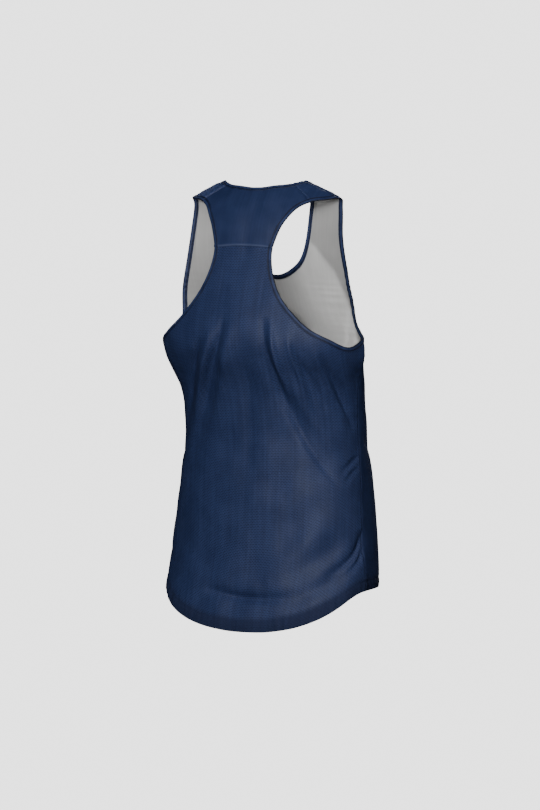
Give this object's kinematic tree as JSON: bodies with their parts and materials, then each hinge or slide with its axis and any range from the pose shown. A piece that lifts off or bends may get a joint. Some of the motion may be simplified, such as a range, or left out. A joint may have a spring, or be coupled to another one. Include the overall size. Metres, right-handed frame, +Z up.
{
  "type": "running singlet",
  "caption": "Sleeveless running singlet with a racer back yoke, bound neck and armholes and a dropped curved back hem, in its hollow worn shape.",
  "frame": {"origin": "between the shoulder straps, level with the high point of the shoulders", "axes": "+Z up, -Y to the front of the wearer, +X to the wearer's left"},
  "size_m": [0.366, 0.2367, 0.7174],
  "materials": {
    "smooth_knit": "smooth polyester knit, navy outside and pale grey inside",
    "eyelet_knit": "eyelet mesh polyester knit, navy outside and pale grey inside",
    "binding_knit": "folded narrow knit binding, navy"
  },
  "bodies": {
    "root": {"front": "smooth_knit", "back_yoke": "smooth_knit", "back_panel": "eyelet_knit", "neck_binding": "binding_knit", "armhole_binding_left": "binding_knit", "armhole_binding_right": "binding_knit"}
  },
  "joints": []
}
